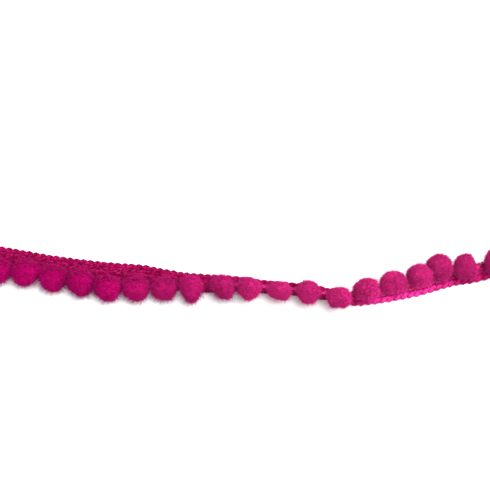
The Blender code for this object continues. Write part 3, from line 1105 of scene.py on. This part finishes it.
@dataclass
class TieYarns:
    """Yarns that tie each pompom to the tape, loose ends between two, and threads over the balls."""

    lie: TapeLie
    steps: int = 7
    radius: float = 0.16 * MM
    apart: float = 0.35 * MM
    ends: int = 7
    end_radius: float = 0.1 * MM
    end_out: float = 1.1 * MM
    end_lean: float = 1.2 * MM
    end_base: float = 0.75 * MM
    end_height: float = 0.5 * MM
    end_lengths_mm: tuple[float, float] = (1.2, 2.1)
    # Where painted light starts on the loose ends.
    light_from_mm: float = -10.0
    wrapped_to_mm: float = -18.0
    wraps: int = 30
    wrap_radius: float = 0.13 * MM
    wrap_over: float = 0.97
    wrap_arch: float = 0.1
    wrap_turns: tuple[tuple[float, float], ...] = ((-62, 50), (10, 24))
    wrap_tilts: tuple[tuple[float, float], ...] = ((8, 62), (-10, 10))

    def make(self, pompoms: Sequence[Pompom], material: bpy.types.Material) -> bpy.types.Object:
        """Builds two short yarns a pompom, each from inside the tape's edge to inside the ball, and the rest.

        Args:
            pompoms: The pompoms, in order along the tape.
            material: The finish.

        Returns:
            The piece.
        """
        share = np.linspace(0, 1, self.steps)[None, :, None]
        middles = np.array([pompom.middle for pompom in pompoms])
        edges = np.array([pompom.edge for pompom in pompoms])
        runs = np.array([pompom.run for pompom in pompoms])
        paths = []
        for side in (-self.apart, self.apart):
            start = edges + runs * side * 2
            stop = edges + (middles - edges) * 0.6 + runs * side
            paths.append(start[:, None] * (1 - share) + stop[:, None] * share)
        beside = np.concatenate([runs, runs])[:, None] * np.ones((1, self.steps, 1))
        maker = MeshMaker()
        tubes(maker, np.concatenate(paths), beside, self.radius, 5)
        self.fans(maker, pompoms)
        self.wrap(maker, [pompom for pompom in pompoms if pompom.along_mm < self.wrapped_to_mm])
        return dress(maker.build("pompom_ties"), material)

    def fans(self, maker: MeshMaker, pompoms: Sequence[Pompom]) -> None:
        """Adds the loose ends: from each knot on the tape they arch to both sides along it and lean apart.

        Args:
            maker: Where they go.
            pompoms: The pompoms, in order along the tape.
        """
        random = np.random.default_rng(23)
        share = np.linspace(0, 1, self.steps)[None, :]
        way = np.where(np.arange(self.ends) % 2 == 0, 1.0, -1.0)[:, None]
        for one, other in zip(pompoms, pompoms[1:]):
            knot = (self.lie.distance(one.along_mm * MM) + self.lie.distance(other.along_mm * MM)) / 2
            lean = np.linspace(-1.0, 1.0, self.ends)[:, None] + random.normal(scale=0.15, size=(self.ends, 1))
            long = random.uniform(*self.end_lengths_mm, size=(self.ends, 1)) * MM
            distance = np.clip(knot + way * long * (share - 0.25), 0.0, self.lie.length)
            out = self.end_out + lean * self.end_lean * share
            arch = self.end_height * np.sin(np.pi * share) * np.ones_like(out)
            points = self.lie.place(distance, out, one.face * (self.end_base + arch), self.end_radius)
            taper = self.end_radius * (1 - 0.5 * share)
            # Painted light on the loose ends right of that place.
            tone = 1.0 if one.along_mm > self.light_from_mm else 0.0
            tubes(maker, points, self.lie.at(distance).face, taper, 4, tone)

    def wrap(self, maker: MeshMaker, pompoms: Sequence[Pompom]) -> None:
        """Adds short threads of the tape that lie over the side of each ball that leans on it.

        Each follows the ball's surface just over its pile. Its turn from the level tapeward direction and its
        tilt both run from a first angle by a second one, each drawn between two bounds in degrees.

        Args:
            maker: Where they go.
            pompoms: The pompoms that the tape lies over.
        """
        random = np.random.default_rng(31)
        share = np.linspace(0, 1, self.steps)[None, :]
        arch = np.sin(np.pi * share)
        for pompom in pompoms:
            level = unit(np.append(pompom.toward_tape[:2], 0.0))
            side = np.cross(UP, level)
            turn, tilt = (
                np.radians(random.uniform(*first, size=(self.wraps, 1))
                           + share * random.uniform(*second, size=(self.wraps, 1)))
                for first, second in (self.wrap_turns, self.wrap_tilts)
            )
            heading = level * np.cos(turn)[..., None] + side * np.sin(turn)[..., None]
            ways = heading * np.cos(tilt)[..., None] + UP * np.sin(tilt)[..., None]
            reach = pompom.reach(ways.reshape(-1, 3)).reshape(tilt.shape)
            points = pompom.middle + ways * (reach * (self.wrap_over + self.wrap_arch * arch))[..., None]
            tubes(maker, points, ways, self.wrap_radius * (0.5 + 0.5 * arch), 4)


@dataclass
class Studio:
    """Pale floor, soft light and the camera."""

    pixel: float = 0.29 * MM
    image_side: int = 490
    trim_row: float = 277.0
    trim_height: float = 2.5 * MM
    elevation: float = 70.0
    lens: float = 70.0
    sensor: float = 36.0
    floor_half: float = 1.5
    floor_below: float = -0.02 * MM
    key_place: tuple[float, float, float] = (0.15, 0.03, 0.36)
    key_power: float = 2.75
    key_side: float = 0.36
    key_colour: Colour = (1.0, 0.99, 0.98)
    surround: float = 0.96

    def floor(self) -> None:
        """A wide pale plane just under the trim."""
        maker = MeshMaker()
        half, below = self.floor_half, self.floor_below
        corners = [[-half, -half, below], [half, -half, below], [half, half, below], [-half, half, below]]
        maker.add(np.array(corners), [np.array([[0, 1, 2, 3]])])
        floor = maker.build("floor", smooth_shaded=False)
        finish = Finish("floor_white", (0.9, 0.9, 0.9))
        finish.shade({"Base Color": (0.93, 0.925, 0.93), "Roughness": 0.8, "Specular IOR Level": 0.1})
        floor.data.materials.append(finish.material)

    def stand(self, name: str, data: bpy.types.ID, place: Vector, ahead: Vector) -> bpy.types.Object:
        """Puts a camera or a lamp somewhere.

        Args:
            name: Its name.
            data: Its settings.
            place: Where it stands.
            ahead: The way it faces.

        Returns:
            The object, linked to the scene.
        """
        made = bpy.data.objects.new(name, data)
        made.location = place
        made.rotation_mode = "QUATERNION"
        made.rotation_quaternion = ahead.to_track_quat("-Z", "Y")
        bpy.context.scene.collection.objects.link(made)
        return made

    def camera(self, lie: TapeLie) -> None:
        """The camera at the photograph's angle, so far back that the frame holds the width that it shows.

        Args:
            lie: How the tape lies, for the middle of its box.
        """
        raised = (self.trim_row - self.image_side / 2) * self.pixel
        tilt = math.radians(self.elevation)
        target = Vector((-lie.box_middle[0], raised / math.sin(tilt) - lie.box_middle[1], 0.0))
        back = Vector((0.0, -math.cos(tilt), math.sin(tilt)))
        nearer = (Vector((target.x, 0.0, self.trim_height)) - target).dot(back)
        far = self.image_side * self.pixel * self.lens / self.sensor + nearer
        data = bpy.data.cameras.new("camera")
        data.lens = self.lens
        data.sensor_width = self.sensor
        data.clip_start = 0.01
        data.clip_end = 10.0
        bpy.context.scene.camera = self.stand("camera", data, target + back * far, -back)

    def light(self) -> None:
        """A large soft key lamp high at the right, and an even pale surround."""
        data = bpy.data.lights.new("key", "AREA")
        data.energy = self.key_power
        data.size = self.key_side
        data.color = self.key_colour
        self.stand("key", data, Vector(self.key_place), -Vector(self.key_place))
        world = bpy.data.worlds.new("surround")
        world.use_nodes = True
        background = world.node_tree.nodes["Background"]
        background.inputs["Color"].default_value = (1.0, 1.0, 1.0, 1.0)
        background.inputs["Strength"].default_value = self.surround
        bpy.context.scene.world = world
        bpy.context.scene.view_settings.view_transform = "Standard"

    def make(self, lie: TapeLie) -> None:
        """Builds the floor, the lights and the camera.

        Args:
            lie: How the tape lies, for the camera.
        """
        self.floor()
        self.light()
        self.camera(lie)


def main() -> None:
    """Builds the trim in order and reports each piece."""
    logging.basicConfig(level=logging.INFO, format="%(name)s %(message)s")
    lie = TapeLie()
    Studio().make(lie)
    # The last colour of each yarn is painted light.
    loop = YarnFinish("whipped_yarn", (0.13, 0.0, 0.024), (0.37, 0.0, 0.085), 900.0, (1.0, 0.05, 0.4))
    ground = YarnFinish("crossing_yarn", (0.13, 0.0, 0.024), (0.3, 0.0, 0.06), 1400.0, (0.9, 0.03, 0.32))
    chain = YarnFinish("chain_thread", (0.11, 0.0, 0.02), (0.44, 0.012, 0.12), 1400.0, (1.0, 0.08, 0.38), 3.2)
    # The pile's root colour against its tip colour is painted shade in its depth, the second pair is painted
    # light towards the right, and the last is painted shade on low hairs.
    pile = PileFinish("cut_pile", root=(0.29, 0.0, 0.086), tip=(0.94, 0.0, 0.285),
                      painted_light_root=(0.32, 0.01, 0.1), painted_light_tip=(0.92, 0.038, 0.32), fuzz_shade=(0.2, 0.03, 0.16))
    yarns = {Strand.LOOP: loop, Strand.GROUND: ground, Strand.CHAIN: chain}
    finishes = {strand: yarn.material() for strand, yarn in yarns.items()}
    pile_finish = pile.material()
    pompoms = [
        Pompom(f"pompom_{number:02d}", lie, *seat[:len(SEAT_COLUMNS)], seat[-len(REACH_COLUMNS):], number)
        for number, seat in enumerate(SEATS, start=1)
    ]
    press_together(pompoms)
    pieces = [pompom.make(pile_finish) for pompom in pompoms]
    ties = TieYarns(lie).make(pompoms, finishes[Strand.CHAIN])
    HeadingTape(lie).make(finishes, [ties])
    log.info("%d pompoms", len(pieces))


if __name__ == "__main__":
    main()
